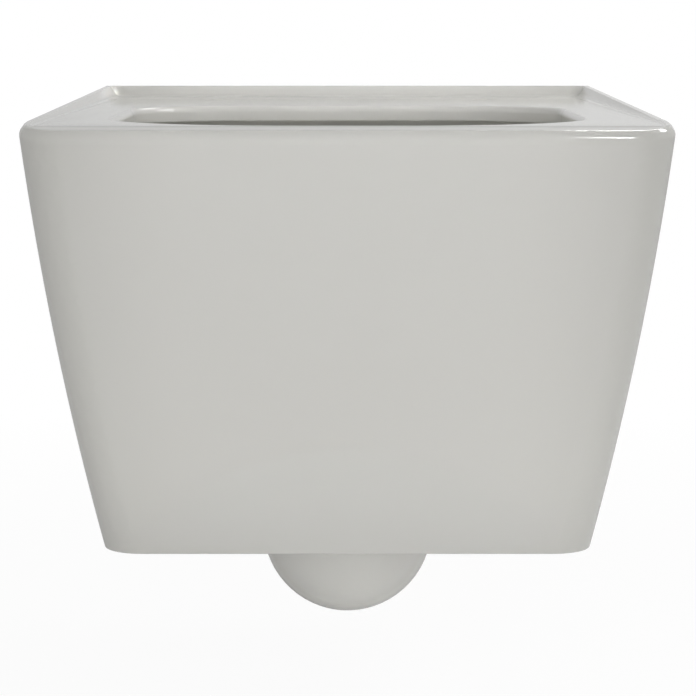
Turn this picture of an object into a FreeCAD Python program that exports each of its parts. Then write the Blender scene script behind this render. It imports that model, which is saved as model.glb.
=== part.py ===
import FreeCAD, Part
import math
import os

V = FreeCAD.Vector
os.makedirs("parts", exist_ok=True)

# All sizes in mm. +X is right, +Y goes into the wall, +Z is up.
# The wall plane is y = 0 and the two wall fixings are at z = 0.
# "back" is a distance behind the front edge and "depth" a distance below the rim plane.

# Outside of the pan
PAN_DEPTH = 540.0           # wall to front edge
RIM_WIDTH = 362.0           # across the rim plane
BASE_WIDTH = 284.0          # across the bottom of the skirt
SKIRT_HEIGHT = 248.2        # rim plane to the bottom of the skirt
FRONT_TAPER = 62.0          # how far the front leans back by the bottom
SIDE_BOW = 3.3              # outward bow of the sides between rim and bottom
FRONT_BOW = 5.3             # outward bow of the front
CORNER_R = 25.0             # front corners, in plan
BOTTOM_EDGE_R = 1.0         # rounding of the bottom edge
RIM_ABOVE_FIXINGS = 80.0    # rim plane above the wall fixings

# Raised lip around the sides and the back of the rim
LIP_HEIGHT = 7.8            # at the wall
LIP_TOE = 0.1               # height left at the front
TRAY_WIDTH = 343.0          # between the feet of the side lips at the wall
TRAY_FRONT_WIDTH = 353.0    # and at the front, where the lips are low
TRAY_WALL_GAP = 9.5         # foot of the rear lip to the wall plane
TRAY_DRAFT = 0.7            # sideways lean of the lip's inner face per mm of height
TRAY_CORNER_R = 9.0
TRAY_FILLET = 7.0
FRONT_EDGE_R = 8.8          # rounding of the outer top edge along the front
SIDE_EDGE_R = 1.2           # and along the sides
EDGE_FADE = 60.0            # back, where the one has faded into the other
FRONT_FALL = 2.6            # how far the deck falls towards the front
FALL_START = 20.0           # back, where that begins
FALL_EDGE_R = 1.0           # edge between the fall and the rounding of the front

# Opening and bowl
OPENING_WIDTH = 276.0       # between the inner faces of the rim
OPENING_FRONT = 25.5        # back
OPENING_REAR = 335.5        # back
OPENING_EDGE_R = 4.5
OPENING_FRONT_R = 105.5     # front corners of the opening, in plan
OPENING_REAR_R = 65.5       # rear corners
RIM_THICKNESS = 10.5        # height of the inner rim face
RIM_UNDER_R = 1.0           # rounding of its lower edge
CHANNEL_UNDERCUT = 10.0     # how far the flush channel goes in under the rim
CHANNEL_HEIGHT = 20.0
SHELF_DROP = 8.0            # slope of the shelf below the channel
BOWL_SECTIONS = 3
SIDE_CURVE = 1.2            # how the sides and the front slope close in with depth
SLOPE_CURVE = 1.5
SLOPE_WALL = 1.35           # the front slopes, so its wall measures more along the level

# Walls
CERAMIC = 12.0              # skirt and bottom
BOWL_WALL = 11.0
DECK = 14.0
BACK_WALL = 14.0

# Trap, outlet and inlet
WELL_BACK = 300.0           # axis of the well below the bowl
WELL_R = 47.0
WELL_CENTRE_DEPTH = 279.9   # centre of the well's round bottom
WELL_LEDGE = 3.0
TRAP_WALL = 9.6
WELL_OVERLAP = 16.5         # how far the well reaches up into the foot of the bowl
DIP_HEADROOM = 4.5          # lower end of the dip, above that centre
RISE_FOOT_BACK = 342.0      # foot of the rising leg
WEIR_BACK = 436.0           # top of the rising leg
OUTLET_BELOW_FIXINGS = 100.0
OUTLET_R = 51.0             # outside of the spigot
SPIGOT_LENGTH = 45.0
OUTLET_TO_WALL = 35.0
TRAP_PIPE_R = 49.0          # outside of the trap between its foot and the spigot
TRAP_BORE_R = 41.0
INLET_ABOVE_FIXINGS = 35.0
INLET_R = 27.5
INLET_DEPTH = 48.0
TUNNEL_R = 24.0
TUNNEL_WALL = 9.0
WINDOW_WIDTH = 250.0        # opening of the back wall and the bottom around the outlet
WINDOW_BELOW_FIXINGS = 34.0
NOTCH_DEPTH = 150.0         # how far the bottom stays open from the wall
WINDOW_R = 25.0

# Seat hinge holes in the deck
SEAT_SPACING = 192.0
SEAT_TO_WALL = 71.0
SEAT_HOLE_R = 6.5
SEAT_HOLE_DEPTH = 19.0

# Hanger bars and their sockets
FIXING_SPACING = 180.0
BAR_R = 12.0
BAR_LENGTH = 78.0
BAR_HEX = 24.0              # across the flats
BAR_HEX_LENGTH = 10.0
STUD_R = 6.0
STUD_DEPTH = 40.0
SLEEVE_WALL = 2.9
SLEEVE_END = 2.0
FIT = 0.05                  # radial play of parts that sit tight in each other
SOCKET_WALL = 10.0
WEB = 24.0                  # rib from a socket up to the deck

# Side clamps, measured along the screw from the axis of the bar
CLAMP_TO_WALL = 52.0        # wall plane to the screw
CLAMP_HOLE_R = 11.0
SEAT_SMALL_R = 6.5          # small end of the tapered seat
SEAT_START = 42.0
SEAT_END = 54.0
CLAMP_BOSS_R = 19.0
CLAMP_BOSS_START = 38.0
CONE_HEAD = 4.0             # straight part of the cone above its taper
CONE_SHORT = 1.0            # its small end stops short of the seat's
CONE_PLAY = 0.4             # between cone and seat before the screw is tightened
SCREW_R = 3.95              # M8
SCREW_TIP = -8.0
THREAD_R = 4.0
SCREW_PLAY = 0.4            # around the shank where it passes through
SCREW_HOLE_R = 5.35         # in the wall of the socket
HEAD_R = 6.5
HEAD_HEIGHT = 8.0
KEY = 6.0                   # hexagon socket across the flats
KEY_DEPTH = 4.0
WASHER_R = 8.5
WASHER_T = 1.6
GAP = 0.3                   # between parts that move against each other
CAP_R = 13.0
CAP_T = 2.0
CAP_RECESS = 1.2
CAP_PLAY = 0.4
CAP_STEM = 5.0
CAP_STEM_WALL = 2.0

# Rubber seal of the inlet
PIPE_R = 22.5
SEAL_LENGTH = 38.0
SEAL_FLANGE_R = 31.0
SEAL_FLANGE_T = 3.0
SEAL_TO_WALL = 1.0

PAST = 20.0                 # how far a cutting shape runs past the surface
RIM = RIM_ABOVE_FIXINGS
BOTTOM = RIM - SKIRT_HEIGHT
HALF_SPACING = FIXING_SPACING / 2.0
SOCKET_R = BAR_R + SLEEVE_WALL + 2.0 * FIT
BOWL_END = SKIRT_HEIGHT - CERAMIC
WELL_TOP = BOWL_END - WELL_OVERLAP


def at(x, back, depth):
    return V(x, back - PAN_DEPTH, RIM - depth)


def box(x0, x1, y0, y1, z0, z1):
    return Part.makeBox(x1 - x0, y1 - y0, z1 - z0, V(x0, y0, z0))


def prism(points, direction):
    return Part.Face(Part.makePolygon(points + [points[0]])).extrude(direction)


def edges_where(shape, test):
    found = []
    for edge in shape.Edges:
        middle = edge.valueAt((edge.FirstParameter + edge.LastParameter) / 2.0)
        if test(middle):
            found.append(edge)
    return found


def side_half_width(depth):
    t = depth / SKIRT_HEIGHT
    return (RIM_WIDTH + t * (BASE_WIDTH - RIM_WIDTH)) / 2.0 + 4.0 * t * (1.0 - t) * SIDE_BOW


def side_lean(depth):
    # Angle of the side from the vertical at a depth, from the slope of its outline.
    t = depth / SKIRT_HEIGHT
    slope = (RIM_WIDTH - BASE_WIDTH) / 2.0 - 4.0 * (1.0 - 2.0 * t) * SIDE_BOW
    return math.degrees(math.atan(slope / SKIRT_HEIGHT))


def front_back(depth):
    t = depth / SKIRT_HEIGHT
    return t * FRONT_TAPER - 4.0 * t * (1.0 - t) * FRONT_BOW


def skirt_solid():
    # A front outline carried along Y crossed with a side outline carried along X, both bowed.
    # The top climbs from the front to the height of the lip at the wall.
    top = -LIP_TOE
    middle = (top + SKIRT_HEIGHT) / 2.0
    start = -PAN_DEPTH - PAST
    right = [V(side_half_width(d), start, RIM - d) for d in (-LIP_HEIGHT - PAST, middle, SKIRT_HEIGHT)]
    left = [V(-p.x, p.y, p.z) for p in right]
    across = Part.Wire(
        [
            Part.Arc(right[0], right[1], right[2]).toShape(),
            Part.makeLine(right[2], left[2]),
            Part.Arc(left[2], left[1], left[0]).toShape(),
            Part.makeLine(left[0], right[0]),
        ]
    )
    low, mid, high = [at(-RIM_WIDTH, front_back(d), d) for d in (SKIRT_HEIGHT, middle, top)]
    low_rear = V(-RIM_WIDTH, 0, BOTTOM)
    high_rear = V(-RIM_WIDTH, 0, RIM + LIP_HEIGHT)
    faded = high + (high_rear - high) * (EDGE_FADE / PAN_DEPTH)
    along = Part.Wire(
        [
            Part.Arc(low, mid, high).toShape(),
            Part.makeLine(high, faded),
            Part.makeLine(faded, high_rear),
            Part.makeLine(high_rear, low_rear),
            Part.makeLine(low_rear, low),
        ]
    )
    sides = Part.Face(across).extrude(V(0, PAN_DEPTH + 2.0 * PAST, 0))
    body = sides.common(Part.Face(along).extrude(V(2.0 * RIM_WIDTH, 0, 0)))
    upright = []
    for edge in edges_where(body, lambda p: p.y < FRONT_TAPER - PAN_DEPTH):
        if edge.BoundBox.ZLength > SKIRT_HEIGHT / 2.0:
            upright.append(edge)
    return body.makeFillet(CORNER_R, upright)


def top_radius(edge):
    # None where no radius is set: from the front to the sides the rounding fades.
    p = edge.valueAt((edge.FirstParameter + edge.LastParameter) / 2.0)
    if p.z > RIM and p.y < 0.01 - PAN_DEPTH:
        return FRONT_EDGE_R
    if p.z > RIM and EDGE_FADE - PAN_DEPTH + 1.0 < p.y < -1.0:
        return SIDE_EDGE_R
    return None


def round_top(body):
    document = FreeCAD.newDocument("rounding")
    base = document.addObject("Part::Feature", "base")
    base.Shape = body
    fillet = document.addObject("Part::Fillet", "fillet")
    fillet.Base = base
    rows = []
    for number, edge in enumerate(body.Edges, 1):
        radius = top_radius(edge)
        if radius:
            rows.append((number, radius, radius))
    fillet.Edges = rows
    document.recompute()
    shape = fillet.Shape.copy()
    FreeCAD.closeDocument(document.Name)
    return shape


def tray_ring(height):
    # Outline of the tray at a height above its floor; it widens to the front and with the height.
    front = -PAN_DEPTH - PAST
    rear = TRAY_DRAFT * height - TRAY_WALL_GAP
    slope = (TRAY_WIDTH - TRAY_FRONT_WIDTH) / 2.0 / (PAN_DEPTH - TRAY_WALL_GAP)
    corners = []
    for y in (front, rear):
        half = TRAY_WIDTH / 2.0 + slope * (y + TRAY_WALL_GAP) + TRAY_DRAFT * height
        corners.append((half, y))
    (front_half, front), (rear_half, rear) = corners
    outline = [(-front_half, front), (front_half, front), (rear_half, rear), (-rear_half, rear)]
    return [V(x, y, RIM + height) for x, y in outline]


def tray():
    solid = hopper([tray_ring(LIP_HEIGHT + PAST), tray_ring(0.0)])
    behind = edges_where(solid, lambda p: p.y > -PAN_DEPTH)
    upright = [edge for edge in behind if edge.BoundBox.ZLength > LIP_HEIGHT]
    solid = solid.makeFillet(TRAY_CORNER_R, upright)
    low = edges_where(solid, lambda p: abs(p.z - RIM) < 0.01 and p.y > -PAN_DEPTH)
    return solid.makeFillet(TRAY_FILLET, low)


def fall_depth(back):
    return FRONT_FALL * (1.0 - back / FALL_START)


def front_fall():
    # What the deck loses where it falls to the front; behind that the plane climbs clear of the lips.
    behind = FALL_START + PAST
    outline = [(-PAST, fall_depth(-PAST)), (behind, fall_depth(behind))]
    outline += [(behind, -LIP_HEIGHT - PAST), (-PAST, -LIP_HEIGHT - PAST)]
    return prism([at(-RIM_WIDTH, back, depth) for back, depth in outline], V(2.0 * RIM_WIDTH, 0, 0))


def on_fall(p):
    back = p.y + PAN_DEPTH
    return back < 0.75 * FALL_START and abs(RIM - p.z - fall_depth(back)) < 0.01


def loop(half, front, rear, front_r, rear_r, depth):
    # Plan section of the bowl or of its opening: a rectangle with wide front and smaller rear corners.
    def corner(x, back, r, sx, sy):
        c = r * math.sqrt(0.5)
        centre = at(sx * (x - r), back - sy * r, depth)
        points = [centre + V(sx * u, sy * v, 0) for u, v in ((r, 0), (c, c), (0, r))]
        return Part.Arc(points[0], points[1], points[2]).toShape()

    arcs = [
        corner(half, rear, rear_r, 1, 1),
        corner(half, rear, rear_r, -1, 1),
        corner(half, front, front_r, -1, -1),
        corner(half, front, front_r, 1, -1),
    ]
    lines = [
        Part.makeLine(at(half - rear_r, rear, depth), at(rear_r - half, rear, depth)),
        Part.makeLine(at(-half, rear - rear_r, depth), at(-half, front + front_r, depth)),
        Part.makeLine(at(front_r - half, front, depth), at(half - front_r, front, depth)),
        Part.makeLine(at(half, front + front_r, depth), at(half, rear - rear_r, depth)),
    ]
    return Part.Wire([arcs[0], lines[0], arcs[1], lines[1], arcs[2], lines[2], arcs[3], lines[3]])


def octagon(half, front, rear, front_r, rear_r, depth):
    # The same section with its corners cut straight, tangent to the arcs.
    f = front_r * (2.0 - math.sqrt(2.0))
    r = rear_r * (2.0 - math.sqrt(2.0))
    corners = [(half - r, rear), (r - half, rear), (-half, rear - r), (-half, front + f)]
    corners += [(f - half, front), (half - f, front), (half, front + f), (half, rear - r)]
    return [at(x, back, depth) for x, back in corners]


def hopper(rings):
    # Solid with flat faces through octagons, one below the other.
    quads = [rings[0], rings[-1]]
    for upper, lower in zip(rings, rings[1:]):
        for k in range(len(upper)):
            quads.append([upper[k], upper[k - 1], lower[k - 1], lower[k]])
    faces = [Part.Face(Part.makePolygon(points + points[:1])) for points in quads]
    return Part.Solid(Part.Shell(faces))


def opening_sizes(grow, depth):
    return (
        OPENING_WIDTH / 2.0 + grow,
        OPENING_FRONT - grow,
        OPENING_REAR + grow,
        OPENING_FRONT_R + grow,
        OPENING_REAR_R + grow,
        depth,
    )


def bowl_sizes(t, wall):
    # Sections of the bowl from below the shelf, t = 0, into the well, t = 1; the wall is for the outside.
    start = RIM_THICKNESS + CHANNEL_HEIGHT + SHELF_DROP
    inner = WELL_R - WELL_LEDGE
    half = OPENING_WIDTH / 2.0
    return (
        half + (inner - half) * t**SIDE_CURVE + wall,
        OPENING_FRONT + (WELL_BACK - inner - OPENING_FRONT) * t**SLOPE_CURVE - SLOPE_WALL * wall,
        OPENING_REAR + (WELL_BACK + inner - OPENING_REAR) * t + wall,
        OPENING_FRONT_R + (inner - WELL_LEDGE - OPENING_FRONT_R) * t**SIDE_CURVE + wall,
        OPENING_REAR_R + (inner - WELL_LEDGE - OPENING_REAR_R) * t + wall,
        start + (BOWL_END - start) * t,
    )


def straight(wire, height):
    return Part.Face(wire).extrude(V(0, 0, height))


def bowl_inside():
    bowl = [loop(*bowl_sizes(k / BOWL_SECTIONS, 0.0)) for k in range(BOWL_SECTIONS + 1)]
    shelf = loop(*opening_sizes(CHANNEL_UNDERCUT, RIM_THICKNESS + CHANNEL_HEIGHT))
    return Part.makeLoft(bowl, True, False).fuse(Part.makeLoft([shelf, bowl[0]], True, True))


def bowl_outside():
    grow = CHANNEL_UNDERCUT + BOWL_WALL
    rings = [octagon(*opening_sizes(grow, depth)) for depth in (0.0, RIM_THICKNESS + CHANNEL_HEIGHT)]
    rings += [octagon(*bowl_sizes(k / BOWL_SECTIONS, BOWL_WALL)) for k in range(BOWL_SECTIONS + 1)]
    return hopper(rings)


def well(r):
    # Upright round well with a ball-shaped bottom.
    top = at(0, WELL_BACK, WELL_TOP)
    centre = at(0, WELL_BACK, WELL_CENTRE_DEPTH)
    side = V(0, r, 0)
    down = V(0, 0, -r)
    edges = [
        Part.makeLine(top, top + side),
        Part.makeLine(top + side, centre + side),
        Part.Arc(centre + side, centre + (side + down) * math.sqrt(0.5), centre + down).toShape(),
        Part.makeLine(centre + down, top),
    ]
    return Part.Face(Part.Wire(edges)).revolve(centre, V(0, 0, 1), 360.0)


def rod(r, first, last):
    along = last - first
    return Part.makeCylinder(r, along.Length, first, along)


def trap(well_r, pipe_r, longer):
    # From the well's bottom to the foot of the rise, up to the weir and out along the outlet.
    outlet = RIM + OUTLET_BELOW_FIXINGS
    centre = at(0, WELL_BACK, WELL_CENTRE_DEPTH)
    foot = at(0, RISE_FOOT_BACK, WELL_CENTRE_DEPTH + well_r - pipe_r)
    weir = at(0, WEIR_BACK, outlet)
    end = at(0, PAN_DEPTH - OUTLET_TO_WALL + longer, outlet)
    pieces = [
        Part.makeSphere(pipe_r, foot, weir - foot),
        Part.makeSphere(pipe_r, weir, weir - foot),
        rod(pipe_r, weir, end),
        Part.makeCone(well_r, pipe_r, (foot - centre).Length, centre, foot - centre),
    ]
    solid = rod(pipe_r, foot, weir)
    for piece in pieces:
        solid = solid.fuse(piece)
    return solid


def trap_outside():
    axis = RIM + OUTLET_BELOW_FIXINGS
    end = PAN_DEPTH - OUTLET_TO_WALL
    spigot = rod(OUTLET_R, at(0, end - SPIGOT_LENGTH, axis), at(0, end, axis))
    outer = WELL_R + TRAP_WALL
    return spigot.fuse([well(outer), trap(outer, TRAP_PIPE_R, 0.0)])


def dip():
    # The rear wall of the well, which hangs into the water and makes the seal.
    low = at(0, WELL_BACK, WELL_CENTRE_DEPTH - DIP_HEADROOM)
    high = at(0, WELL_BACK, WELL_TOP)
    return rod(WELL_R + TRAP_WALL, low, high).cut(rod(WELL_R, low, high))


def inlet_tube(r, y0, y1):
    return Part.makeCylinder(r, y1 - y0, V(0, y0, INLET_ABOVE_FIXINGS), V(0, 1, 0))


def bar_axis(r, y0, y1, side):
    return Part.makeCylinder(r, y1 - y0, V(side * HALF_SPACING, y0, 0), V(0, 1, 0))


def clamp_reach():
    # Distance along the screw from the bar to the outside of the skirt, and the angle of the screw.
    reach = RIM_WIDTH / 2.0 - HALF_SPACING
    angle = 0.0
    for _ in range(12):
        depth = RIM + reach * math.sin(math.radians(angle))
        angle = side_lean(depth)
        reach = (side_half_width(depth) - HALF_SPACING) / math.cos(math.radians(angle))
    return reach, angle


CLAMP_REACH, CLAMP_ANGLE = clamp_reach()


def turned(profile, side):
    # Revolve (distance along the screw, radius) points and place the piece on its side of the pan.
    points = [V(u, 0, r) for u, r in profile]
    solid = Part.Face(Part.makePolygon(points + [points[0]])).revolve(V(0, 0, 0), V(1, 0, 0), 360.0)
    return clamp_place(solid, side)


def clamp_place(solid, side):
    placed = solid.copy()
    placed.rotate(V(0, 0, 0), V(0, 1, 0), CLAMP_ANGLE)
    placed.translate(V(HALF_SPACING, -CLAMP_TO_WALL, 0))
    return placed if side > 0 else placed.mirror(V(0, 0, 0), V(1, 0, 0))


def clamp_rod(r, u0, u1, side):
    return turned([(u0, 0), (u1, 0), (u1, r), (u0, r)], side)


def taper(grow):
    # Points of the tapered seat, or of the cone when it shrinks.
    return [(SEAT_START, SEAT_SMALL_R + grow), (SEAT_END, CLAMP_HOLE_R + grow)]


def skirt_top():
    body = skirt_solid()
    low = edges_where(body, lambda p: abs(p.z - BOTTOM) < 0.01 and p.y < -1.0)
    body = body.makeFillet(BOTTOM_EDGE_R, low)
    body = round_top(body).cut([tray(), front_fall()])
    return body.makeFillet(FALL_EDGE_R, edges_where(body, on_fall))


def rim_edges(shape, z):
    # Level edges at z that lie round the opening.
    half = OPENING_WIDTH / 2.0 + GAP
    front = OPENING_FRONT - GAP - PAN_DEPTH
    rear = OPENING_REAR + GAP - PAN_DEPTH
    found = []
    for edge in shape.Edges:
        size = edge.BoundBox
        level = max(abs(size.ZMin - z), abs(size.ZMax - z)) < 0.01
        across = max(abs(size.XMin), abs(size.XMax)) < half
        along = size.YMin > front and size.YMax < rear
        if level and across and along:
            found.append(edge)
    return found


def open_rim(body):
    # Cut the opening and the flush channel below it, then round both edges of the rim.
    low = RIM_THICKNESS + CHANNEL_HEIGHT
    hole = straight(loop(*opening_sizes(0.0, low - CHANNEL_HEIGHT / 2.0)), low)
    channel = straight(loop(*opening_sizes(CHANNEL_UNDERCUT, low)), CHANNEL_HEIGHT)
    body = body.cut([hole, channel])
    body = body.makeFillet(OPENING_EDGE_R, rim_edges(body, RIM))
    return body.makeFillet(RIM_UNDER_R, rim_edges(body, RIM - RIM_THICKNESS))


def room_ring(depth):
    r = CORNER_R - CERAMIC
    half = side_half_width(depth) - CERAMIC
    return octagon(half, front_back(depth) + CERAMIC, PAN_DEPTH - BACK_WALL, r, r, depth)


def cavity():
    # The hollow between skirt and bowl, less everything that stands in it.
    room = hopper([room_ring(DECK), room_ring(BOWL_END)])
    keep = [
        bowl_outside(),
        trap_outside(),
        inlet_tube(INLET_R + TUNNEL_WALL, -INLET_DEPTH - TUNNEL_WALL, 0.0),
        inlet_tube(TUNNEL_R + TUNNEL_WALL, OPENING_REAR - PAN_DEPTH, 0.0),
    ]
    socket_end = -BAR_LENGTH - SLEEVE_END - SOCKET_WALL
    for side in (1, -1):
        x = side * HALF_SPACING
        keep.append(bar_axis(SOCKET_R + SOCKET_WALL, socket_end, 0.0, side))
        keep.append(box(x - WEB / 2.0, x + WEB / 2.0, socket_end, 0.0, 0.0, RIM))
        keep.append(clamp_rod(CLAMP_BOSS_R, CLAMP_BOSS_START, CLAMP_REACH, side))
    return room.cut(keep)


def rear_openings():
    half = WINDOW_WIDTH / 2.0
    window = box(-half, half, -BACK_WALL - PAST / 4.0, PAST, BOTTOM - PAST, -WINDOW_BELOW_FIXINGS)

    def upper(p):
        return abs(abs(p.x) - half) < 0.01 and abs(p.z + WINDOW_BELOW_FIXINGS) < 0.01

    def front(p):
        return abs(abs(p.x) - half) < 0.01 and abs(p.y + NOTCH_DEPTH) < 0.01

    window = window.makeFillet(WINDOW_R, edges_where(window, upper))
    notch = box(-half, half, -NOTCH_DEPTH, PAST, BOTTOM - PAST, BOTTOM + CERAMIC + PAST / 4.0)
    return window.fuse(notch.makeFillet(WINDOW_R, edges_where(notch, front)))


def pan_body():
    body = open_rim(skirt_top())
    body = body.cut(cavity()).cut(rear_openings())
    body = body.fuse(trap_outside())
    body = body.cut(trap(WELL_R, TRAP_BORE_R, PAST)).fuse(dip())
    body = body.cut([bowl_inside(), well(WELL_R)])
    holes = [
        inlet_tube(INLET_R, -INLET_DEPTH, PAST),
        inlet_tube(TUNNEL_R, OPENING_REAR - PAN_DEPTH - PAST, PAST),
        inlet_tube(SEAL_FLANGE_R + GAP, -SEAL_TO_WALL - SEAL_FLANGE_T, PAST),
    ]
    for side in (1, -1):
        seat = V(side * SEAT_SPACING / 2.0, -SEAT_TO_WALL, RIM - SEAT_HOLE_DEPTH)
        holes.append(Part.makeCylinder(SEAT_HOLE_R, SEAT_HOLE_DEPTH + PAST, seat))
        holes.append(bar_axis(SOCKET_R, -BAR_LENGTH - SLEEVE_END, PAST, side))
        holes.append(clamp_rod(SCREW_HOLE_R, 0.0, SEAT_START, side))
        profile = [(CLAMP_BOSS_START - GAP, 0.0), (CLAMP_BOSS_START - GAP, SEAT_SMALL_R)] + taper(0.0)
        profile += [(CLAMP_REACH + PAST, CLAMP_HOLE_R), (CLAMP_REACH + PAST, 0.0)]
        holes.append(turned(profile, side))
        holes.append(clamp_rod(CAP_R + CAP_PLAY, CLAMP_REACH - CAP_RECESS, CLAMP_REACH + PAST, side))
    return body.cut(holes)


def inlet_seal():
    y = -SEAL_TO_WALL
    back = y - SEAL_LENGTH
    outer = INLET_R - FIT
    profile = [
        (y, PIPE_R),
        (y, SEAL_FLANGE_R),
        (y - SEAL_FLANGE_T, SEAL_FLANGE_R),
        (y - SEAL_FLANGE_T, outer),
        (back, outer),
        (back, PIPE_R),
    ]
    points = [V(0, v, INLET_ABOVE_FIXINGS + r) for v, r in profile]
    face = Part.Face(Part.makePolygon(points + [points[0]]))
    return face.revolve(V(0, 0, INLET_ABOVE_FIXINGS), V(0, 1, 0), 360.0)


def hexagon(flats, x, y, z, axis):
    r = flats / math.sqrt(3.0)
    points = []
    for k in range(6):
        a = math.radians(60.0 * k + 30.0)
        level = r * math.cos(a)
        p = V(level, 0, r * math.sin(a)) if axis == "y" else V(0, level, r * math.sin(a))
        points.append(p + V(x, y, z))
    return points


def hanger_bar(side):
    x = side * HALF_SPACING
    collar = prism(hexagon(BAR_HEX, x, -BAR_HEX_LENGTH, 0, "y"), V(0, BAR_HEX_LENGTH, 0))
    bar = bar_axis(BAR_R, -BAR_LENGTH, -BAR_HEX_LENGTH, side).fuse(collar)
    thread = clamp_rod(THREAD_R, -BAR_R - PAST, BAR_R + PAST, side)
    return bar.cut([bar_axis(STUD_R, -STUD_DEPTH, PAST, side), thread])


def bar_sleeve(side):
    outer = bar_axis(SOCKET_R - FIT, -BAR_LENGTH - SLEEVE_END, -BAR_HEX_LENGTH - GAP, side)
    inner = bar_axis(BAR_R + FIT, -BAR_LENGTH, 0.0, side)
    return outer.cut([inner, clamp_rod(SCREW_R + SCREW_PLAY, 0.0, SOCKET_R + PAST, side)])


CONE_TOP = SEAT_END + CONE_HEAD
HEAD_FROM = CONE_TOP + WASHER_T + GAP


def clamp_cone(side):
    small, large = taper(-CONE_PLAY)
    start = SEAT_START + CONE_SHORT
    slope = (large[1] - small[1]) / (SEAT_END - SEAT_START)
    profile = [
        (start, SCREW_R + SCREW_PLAY),
        (start, small[1] + CONE_SHORT * slope),
        large,
        (CONE_TOP, large[1]),
        (CONE_TOP, SCREW_R + SCREW_PLAY),
    ]
    return turned(profile, side)


def clamp_washer(side):
    inner = SCREW_R + SCREW_PLAY
    end = CONE_TOP + WASHER_T
    profile = [(CONE_TOP, inner), (CONE_TOP, WASHER_R), (end, WASHER_R), (end, inner)]
    return turned(profile, side)


def clamp_screw(side):
    end = HEAD_FROM + HEAD_HEIGHT
    profile = [
        (SCREW_TIP, 0.0),
        (SCREW_TIP, SCREW_R),
        (HEAD_FROM, SCREW_R),
        (HEAD_FROM, HEAD_R),
        (end, HEAD_R),
        (end, 0.0),
    ]
    key = prism(hexagon(KEY, end - KEY_DEPTH, 0, 0, "x"), V(KEY_DEPTH + PAST, 0, 0))
    return turned(profile, side).cut(clamp_place(key, side))


def cover_cap(side):
    # Thin disc with a hollow stem that grips the side hole.
    floor = CLAMP_REACH - CAP_RECESS + GAP
    stem = CLAMP_HOLE_R - CAP_PLAY
    inner = stem - CAP_STEM_WALL
    profile = [
        (floor, 0.0),
        (floor, inner),
        (floor - CAP_STEM, inner),
        (floor - CAP_STEM, stem),
        (floor, stem),
        (floor, CAP_R),
        (floor + CAP_T, CAP_R),
        (floor + CAP_T, 0.0),
    ]
    return turned(profile, side)


nodes = {"pan_body": pan_body(), "inlet_seal": inlet_seal()}
for side, word in ((1, "right"), (-1, "left")):
    nodes["hanger_bar_" + word] = hanger_bar(side)
    nodes["bar_sleeve_" + word] = bar_sleeve(side)
    nodes["clamp_cone_" + word] = clamp_cone(side)
    nodes["clamp_washer_" + word] = clamp_washer(side)
    nodes["clamp_screw_" + word] = clamp_screw(side)
    nodes["cover_cap_" + word] = cover_cap(side)

for name, shape in nodes.items():
    solid = shape.Solids[0] if len(shape.Solids) == 1 else shape
    volume = round(shape.Volume / 1000.0, 2)
    print(name, "solids", len(shape.Solids), "volume cm3", volume, "valid", shape.isValid())
    solid.exportStep("parts/" + name + ".step")
print("clamp angle", CLAMP_ANGLE, "reach", CLAMP_REACH)
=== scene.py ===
import math
import bpy
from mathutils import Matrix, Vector

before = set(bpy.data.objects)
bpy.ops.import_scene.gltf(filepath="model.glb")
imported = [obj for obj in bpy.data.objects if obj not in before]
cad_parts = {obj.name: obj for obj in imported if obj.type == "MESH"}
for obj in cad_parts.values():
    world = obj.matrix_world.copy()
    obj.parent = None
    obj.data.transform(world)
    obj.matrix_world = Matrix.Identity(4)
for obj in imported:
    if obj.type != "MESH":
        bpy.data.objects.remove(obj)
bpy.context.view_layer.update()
scene = bpy.context.scene
scene.view_settings.view_transform = "Standard"
print("frame loaded:", len(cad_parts), "nodes")


# one smooth skin from the loose CAD triangles: merged points, sharp only past an angle
skin = {"mergeM": 0.00002, "sharpDeg": 34.0}


def smoothSkinGroup():
    tree = bpy.data.node_groups.new("smoothSkin", "GeometryNodeTree")
    for way in ("INPUT", "OUTPUT"):
        tree.interface.new_socket("Geometry", in_out=way, socket_type="NodeSocketGeometry")
    put, join = tree.nodes.new, tree.links.new
    start = put("NodeGroupInput")
    end = put("NodeGroupOutput")
    merge = put("GeometryNodeMergeByDistance")
    merge.inputs["Distance"].default_value = skin["mergeM"]
    angle = put("GeometryNodeInputMeshEdgeAngle")
    gentle = put("FunctionNodeCompare")
    gentle.operation = "LESS_EQUAL"
    gentle.inputs[1].default_value = math.radians(skin["sharpDeg"])
    faces = put("GeometryNodeSetShadeSmooth")
    faces.domain = "FACE"
    edges = put("GeometryNodeSetShadeSmooth")
    edges.domain = "EDGE"
    join(start.outputs[0], merge.inputs["Geometry"])
    join(merge.outputs[0], faces.inputs["Geometry"])
    join(faces.outputs[0], edges.inputs["Geometry"])
    join(angle.outputs["Unsigned Angle"], gentle.inputs[0])
    join(gentle.outputs[0], edges.inputs["Shade Smooth"])
    join(edges.outputs[0], end.inputs[0])
    return tree


skinGroup = smoothSkinGroup()
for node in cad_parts.values():
    smooth = node.modifiers.new("smoothSkin", "NODES")
    smooth.node_group = skinGroup
    weigh = node.modifiers.new("weighNormals", "WEIGHTED_NORMAL")
    weigh.keep_sharp = True
print("skins smoothed")


# surface of every finish: soft clouds and a fine grain, both 0..1 around 0.5
grainLook = {"Cloud": {"scale": 4.0, "detail": 3.0}, "Grain": {"scale": 300.0, "detail": 2.0}}
noiseSpan = (0.3, 0.7)


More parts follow.
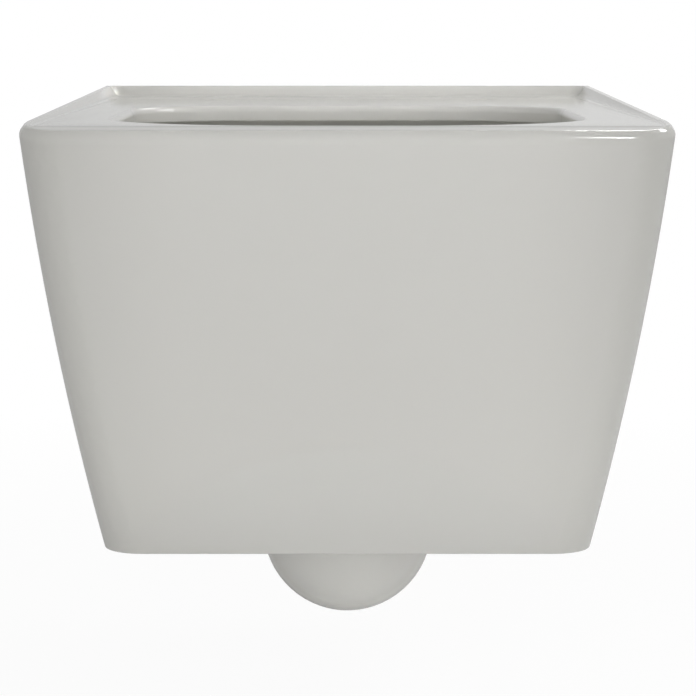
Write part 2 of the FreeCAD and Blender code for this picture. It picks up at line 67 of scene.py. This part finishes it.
def grainGroup():
    tree = bpy.data.node_groups.new("surfaceGrain", "ShaderNodeTree")
    socket = tree.interface.new_socket
    for kind, look in grainLook.items():
        scale = socket(f"{kind} Scale", in_out="INPUT", socket_type="NodeSocketFloat")
        scale.default_value = look["scale"]
        socket(kind, in_out="OUTPUT", socket_type="NodeSocketFloat")
    given = tree.nodes.new("NodeGroupInput")
    out = tree.nodes.new("NodeGroupOutput")
    place = tree.nodes.new("ShaderNodeTexCoord")
    for kind, look in grainLook.items():
        noise = tree.nodes.new("ShaderNodeTexNoise")
        noise.inputs["Detail"].default_value = look["detail"]
        tree.links.new(place.outputs["Object"], noise.inputs["Vector"])
        tree.links.new(given.outputs[f"{kind} Scale"], noise.inputs["Scale"])
        tree.links.new(noise.outputs["Fac"], out.inputs[kind])
    return tree


grain = grainGroup()


# spreads a span of a value over low..high
def mapRange(tree, value, low, high, span=noiseSpan):
    node = tree.nodes.new("ShaderNodeMapRange")
    limits = {"From Min": span[0], "From Max": span[1], "To Min": low, "To Max": high}
    for socket, limit in limits.items():
        node.inputs[socket].default_value = limit
    tree.links.new(value, node.inputs["Value"])
    return node.outputs["Result"]


# mixes two numbers or colours, given as sockets or as plain values
mixSockets = {"FLOAT": (2, 3, 0), "RGBA": (6, 7, 2)}


def blend(tree, kind, factor, first, second):
    node = tree.nodes.new("ShaderNodeMix")
    node.data_type = kind
    tree.links.new(factor, node.inputs["Factor"])
    firstIn, secondIn, result = mixSockets[kind]
    for socket, given in ((node.inputs[firstIn], first), (node.inputs[secondIn], second)):
        if isinstance(given, bpy.types.NodeSocket):
            tree.links.new(given, socket)
        else:
            socket.default_value = (*given, 1.0) if kind == "RGBA" else given
    return node.outputs[result]


# a finish from one dictionary: two close colours, a roughness span and a fine bump
plainLook = {"metal": 0.0, "ior": 1.5, "bumpM": 0.0002}


def finish(name, own):
    look = {**plainLook, **own}
    material = bpy.data.materials.new(name)
    material.use_nodes = True
    tree = material.node_tree
    shader = tree.nodes["Principled BSDF"]
    surface = tree.nodes.new("ShaderNodeGroup")
    surface.node_tree = grain
    surface.inputs["Cloud Scale"].default_value = look["cloudScale"]
    surface.inputs["Grain Scale"].default_value = look["grainScale"]
    clouds = mapRange(tree, surface.outputs["Cloud"], 0.0, 1.0)
    colour = blend(tree, "RGBA", clouds, look["colour"], look["colourTwo"])
    tree.links.new(colour, shader.inputs["Base Color"])
    rough = mapRange(tree, surface.outputs["Grain"], *look["rough"])
    tree.links.new(rough, shader.inputs["Roughness"])
    bump = tree.nodes.new("ShaderNodeBump")
    bump.inputs["Strength"].default_value = look["bump"]
    bump.inputs["Distance"].default_value = look["bumpM"]
    tree.links.new(surface.outputs["Grain"], bump.inputs["Height"])
    tree.links.new(bump.outputs["Normal"], shader.inputs["Normal"])
    shader.inputs["Metallic"].default_value = look["metal"]
    shader.inputs["IOR"].default_value = look["ior"]
    return material, tree, shader, colour, rough


# the glaze, with the bare ground face that stands against the wall
glaze = {
    "colour": (0.600, 0.594, 0.562), "colourTwo": (0.622, 0.616, 0.584),
    "cloudScale": 3.0, "grainScale": 420.0, "rough": (0.07, 0.12), "bump": 0.05, "ior": 1.52,
}
bareClay = {"colour": (0.66, 0.645, 0.61), "rough": 0.72, "wallBandM": (-0.0008, -0.0004)}


def glazeMaterial():
    material, tree, shader, colour, rough = finish("glazedCeramic", glaze)
    place = tree.nodes.new("ShaderNodeTexCoord")
    axes = tree.nodes.new("ShaderNodeSeparateXYZ")
    tree.links.new(place.outputs["Object"], axes.inputs[0])
    bare = mapRange(tree, axes.outputs["Y"], 0.0, 1.0, bareClay["wallBandM"])
    paint = blend(tree, "RGBA", bare, colour, bareClay["colour"])
    tree.links.new(paint, shader.inputs["Base Color"])
    dull = blend(tree, "FLOAT", bare, rough, bareClay["rough"])
    tree.links.new(dull, shader.inputs["Roughness"])
    return material


finishes = {
    "capPlastic": {
        "colour": (0.62, 0.61, 0.585), "colourTwo": (0.64, 0.63, 0.605),
        "cloudScale": 40.0, "grainScale": 900.0, "rough": (0.22, 0.32), "bump": 0.08,
    },
    "sealRubber": {
        "colour": (0.020, 0.020, 0.021), "colourTwo": (0.034, 0.034, 0.035),
        "cloudScale": 60.0, "grainScale": 1400.0, "rough": (0.55, 0.75), "bump": 0.25,
    },
    "sleeveNylon": {
        "colour": (0.56, 0.56, 0.55), "colourTwo": (0.63, 0.63, 0.61),
        "cloudScale": 70.0, "grainScale": 1100.0, "rough": (0.38, 0.5), "bump": 0.12,
    },
    "zincSteel": {
        "colour": (0.58, 0.59, 0.60), "colourTwo": (0.47, 0.48, 0.50),
        "cloudScale": 120.0, "grainScale": 1500.0, "rough": (0.24, 0.40), "bump": 0.15,
        "bumpM": 0.0001, "metal": 1.0,
    },
}
materials = {name: finish(name, look)[0] for name, look in finishes.items()}
materials["glazedCeramic"] = glazeMaterial()
wears = {
    "pan_body": "glazedCeramic", "inlet_seal": "sealRubber", "hanger_bar": "zincSteel",
    "bar_sleeve": "sleeveNylon", "clamp_cone": "sleeveNylon", "clamp_washer": "zincSteel",
    "clamp_screw": "zincSteel", "cover_cap": "capPlastic",
}
for name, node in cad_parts.items():
    kind = name.removesuffix("_left").removesuffix("_right")
    node.data.materials.clear()
    node.data.materials.append(materials[wears[kind]])
print("finishes set on", len(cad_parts), "nodes")


# studio floor: pale, nearly white to the camera around the part and white farther out
floorLook = {
    "z": -0.32, "half": 6.0, "colour": (0.9, 0.9, 0.9), "rough": 0.9,
    "whiteNear": 0.94, "whiteFar": 1.0, "fadeM": (0.35, 1.1),
}


def studioFloor():
    half, z = floorLook["half"], floorLook["z"]
    corners = [(-half, -half, z), (half, -half, z), (half, half, z), (-half, half, z)]
    mesh = bpy.data.meshes.new("studioFloor")
    mesh.from_pydata(corners, [], [(0, 1, 2, 3)])
    floor = bpy.data.objects.new("studioFloor", mesh)
    scene.collection.objects.link(floor)
    material = bpy.data.materials.new("paleFloor")
    material.use_nodes = True
    tree = material.node_tree
    shader = tree.nodes["Principled BSDF"]
    shader.inputs["Base Color"].default_value = (*floorLook["colour"], 1.0)
    shader.inputs["Roughness"].default_value = floorLook["rough"]
    glow = tree.nodes.new("ShaderNodeEmission")
    path = tree.nodes.new("ShaderNodeLightPath")
    place = tree.nodes.new("ShaderNodeTexCoord")
    reach = tree.nodes.new("ShaderNodeVectorMath")
    reach.operation = "LENGTH"
    tree.links.new(place.outputs["Object"], reach.inputs[0])
    white = mapRange(
        tree, reach.outputs["Value"], floorLook["whiteNear"], floorLook["whiteFar"],
        floorLook["fadeM"],
    )
    share = tree.nodes.new("ShaderNodeMath")
    share.operation = "MULTIPLY"
    tree.links.new(path.outputs["Is Camera Ray"], share.inputs[0])
    tree.links.new(white, share.inputs[1])
    mix = tree.nodes.new("ShaderNodeMixShader")
    tree.links.new(share.outputs[0], mix.inputs[0])
    tree.links.new(shader.outputs[0], mix.inputs[1])
    tree.links.new(glow.outputs[0], mix.inputs[2])
    tree.links.new(mix.outputs[0], tree.nodes["Material Output"].inputs["Surface"])
    mesh.materials.append(material)


# even room: a little darker overhead, a little lighter in mirrored rays from the right
roomLook = {
    "glossyLeft": 0.63, "glossyRight": 0.70, "glossySpan": (-0.15, 0.15),
    "diffuse": 0.66, "diffuseTop": 0.42, "diffuseSpan": (0.0, 0.8),
    "colour": (1.0, 1.0, 1.0), "white": 1.0,
}


def studioRoom():
    look = roomLook
    world = bpy.data.worlds.new("studioRoom")
    scene.world = world
    world.use_nodes = True
    tree = world.node_tree
    back = tree.nodes["Background"]
    back.inputs["Color"].default_value = (*look["colour"], 1.0)
    path = tree.nodes.new("ShaderNodeLightPath")
    place = tree.nodes.new("ShaderNodeTexCoord")
    axes = tree.nodes.new("ShaderNodeSeparateXYZ")
    tree.links.new(place.outputs["Generated"], axes.inputs[0])
    across, up = axes.outputs["X"], axes.outputs["Z"]
    glossy = mapRange(tree, across, look["glossyLeft"], look["glossyRight"], look["glossySpan"])
    diffuse = mapRange(tree, up, look["diffuse"], look["diffuseTop"], look["diffuseSpan"])
    level = blend(tree, "FLOAT", path.outputs["Is Glossy Ray"], diffuse, glossy)
    for ray in ("Is Transmission Ray", "Is Camera Ray"):
        level = blend(tree, "FLOAT", path.outputs[ray], level, look["white"])
    tree.links.new(level, back.inputs["Strength"])


# soft boxes: a narrow spread keeps one on a small area, and shows tells if it is mirrored
plainBox = {"spreadDeg": 180.0, "shows": True}
boxes = {
    "keyRight": {
        "place": (1.25, 0.15, 1.2), "aim": (0.0, -0.3, 0.05), "size": (0.5, 0.4), "watt": 8.5,
    },
    "stripRight": {
        "place": (0.37, 1.06, 1.12), "aim": (0.30, -0.535, 0.085), "size": (0.17, 0.8),
        "watt": 0.5, "spreadDeg": 36.0,
    },
    "glintRight": {
        "place": (0.362, -2.19, 1.2), "aim": (0.147, -0.54, 0.08), "size": (0.022, 0.17),
        "watt": 2.3,
    },
    "rearSoft": {
        "place": (0.05, -1.6, 1.0), "aim": (0.05, -0.10, 0.075), "size": (0.45, 0.1),
        "watt": 0.030, "spreadDeg": 6.0, "shows": False,
    },
    "bowlSoft": {
        "place": (0.0, -1.6, 1.0), "aim": (-0.05, -0.24, 0.05), "size": (0.22, 0.08),
        "watt": 0.014, "spreadDeg": 4.0, "shows": False,
    },
    "frontSoft": {
        "place": (0.0, -2.5, 0.11), "aim": (0.0, -0.5, 0.087), "size": (0.33, 0.55),
        "watt": 0.21, "spreadDeg": 5.0, "shows": False,
    },
    "trapSoft": {
        "place": (0.0, -2.5, -0.18), "aim": (0.0, -0.3, -0.275), "size": (0.14, 0.06),
        "watt": 0.030, "spreadDeg": 5.0, "shows": False,
    },
    "lipSoft": {
        "place": (1.5, 0.4, 0.42), "aim": (-0.168, -0.025, 0.083), "size": (0.1, 0.1),
        "watt": 0.03, "spreadDeg": 5.0,
    },
}


def softBox(name, own):
    look = {**plainBox, **own}
    lamp = bpy.data.lights.new(name, "AREA")
    lamp.shape = "RECTANGLE"
    lamp.size, lamp.size_y = look["size"]
    lamp.energy = look["watt"]
    lamp.spread = math.radians(look["spreadDeg"])
    box = bpy.data.objects.new(name, lamp)
    scene.collection.objects.link(box)
    box.visible_glossy = look["shows"]
    box.location = look["place"]
    aim = Vector(look["aim"]) - Vector(look["place"])
    box.rotation_euler = aim.to_track_quat("-Z", "Y").to_euler()


studioFloor()
studioRoom()
for name, look in boxes.items():
    softBox(name, look)
print("studio lit by", len(boxes), "soft boxes")


# camera fitted to the photo: straight in front, a little above the rim, with a long lens
view = {
    "place": (0.0004, -1.9089, 0.1393), "tiltDeg": 82.533, "lensMm": 130.78, "sensorMm": 36.0,
    "clipStartM": 0.01,
}
lens = bpy.data.cameras.new("photoCamera")
lens.lens = view["lensMm"]
lens.sensor_width = view["sensorMm"]
lens.sensor_fit = "HORIZONTAL"
lens.clip_start = view["clipStartM"]
camera = bpy.data.objects.new("photoCamera", lens)
scene.collection.objects.link(camera)
camera.location = view["place"]
camera.rotation_euler = (math.radians(view["tiltDeg"]), 0.0, 0.0)
scene.camera = camera
print("camera placed")

bpy.context.view_layer.update()
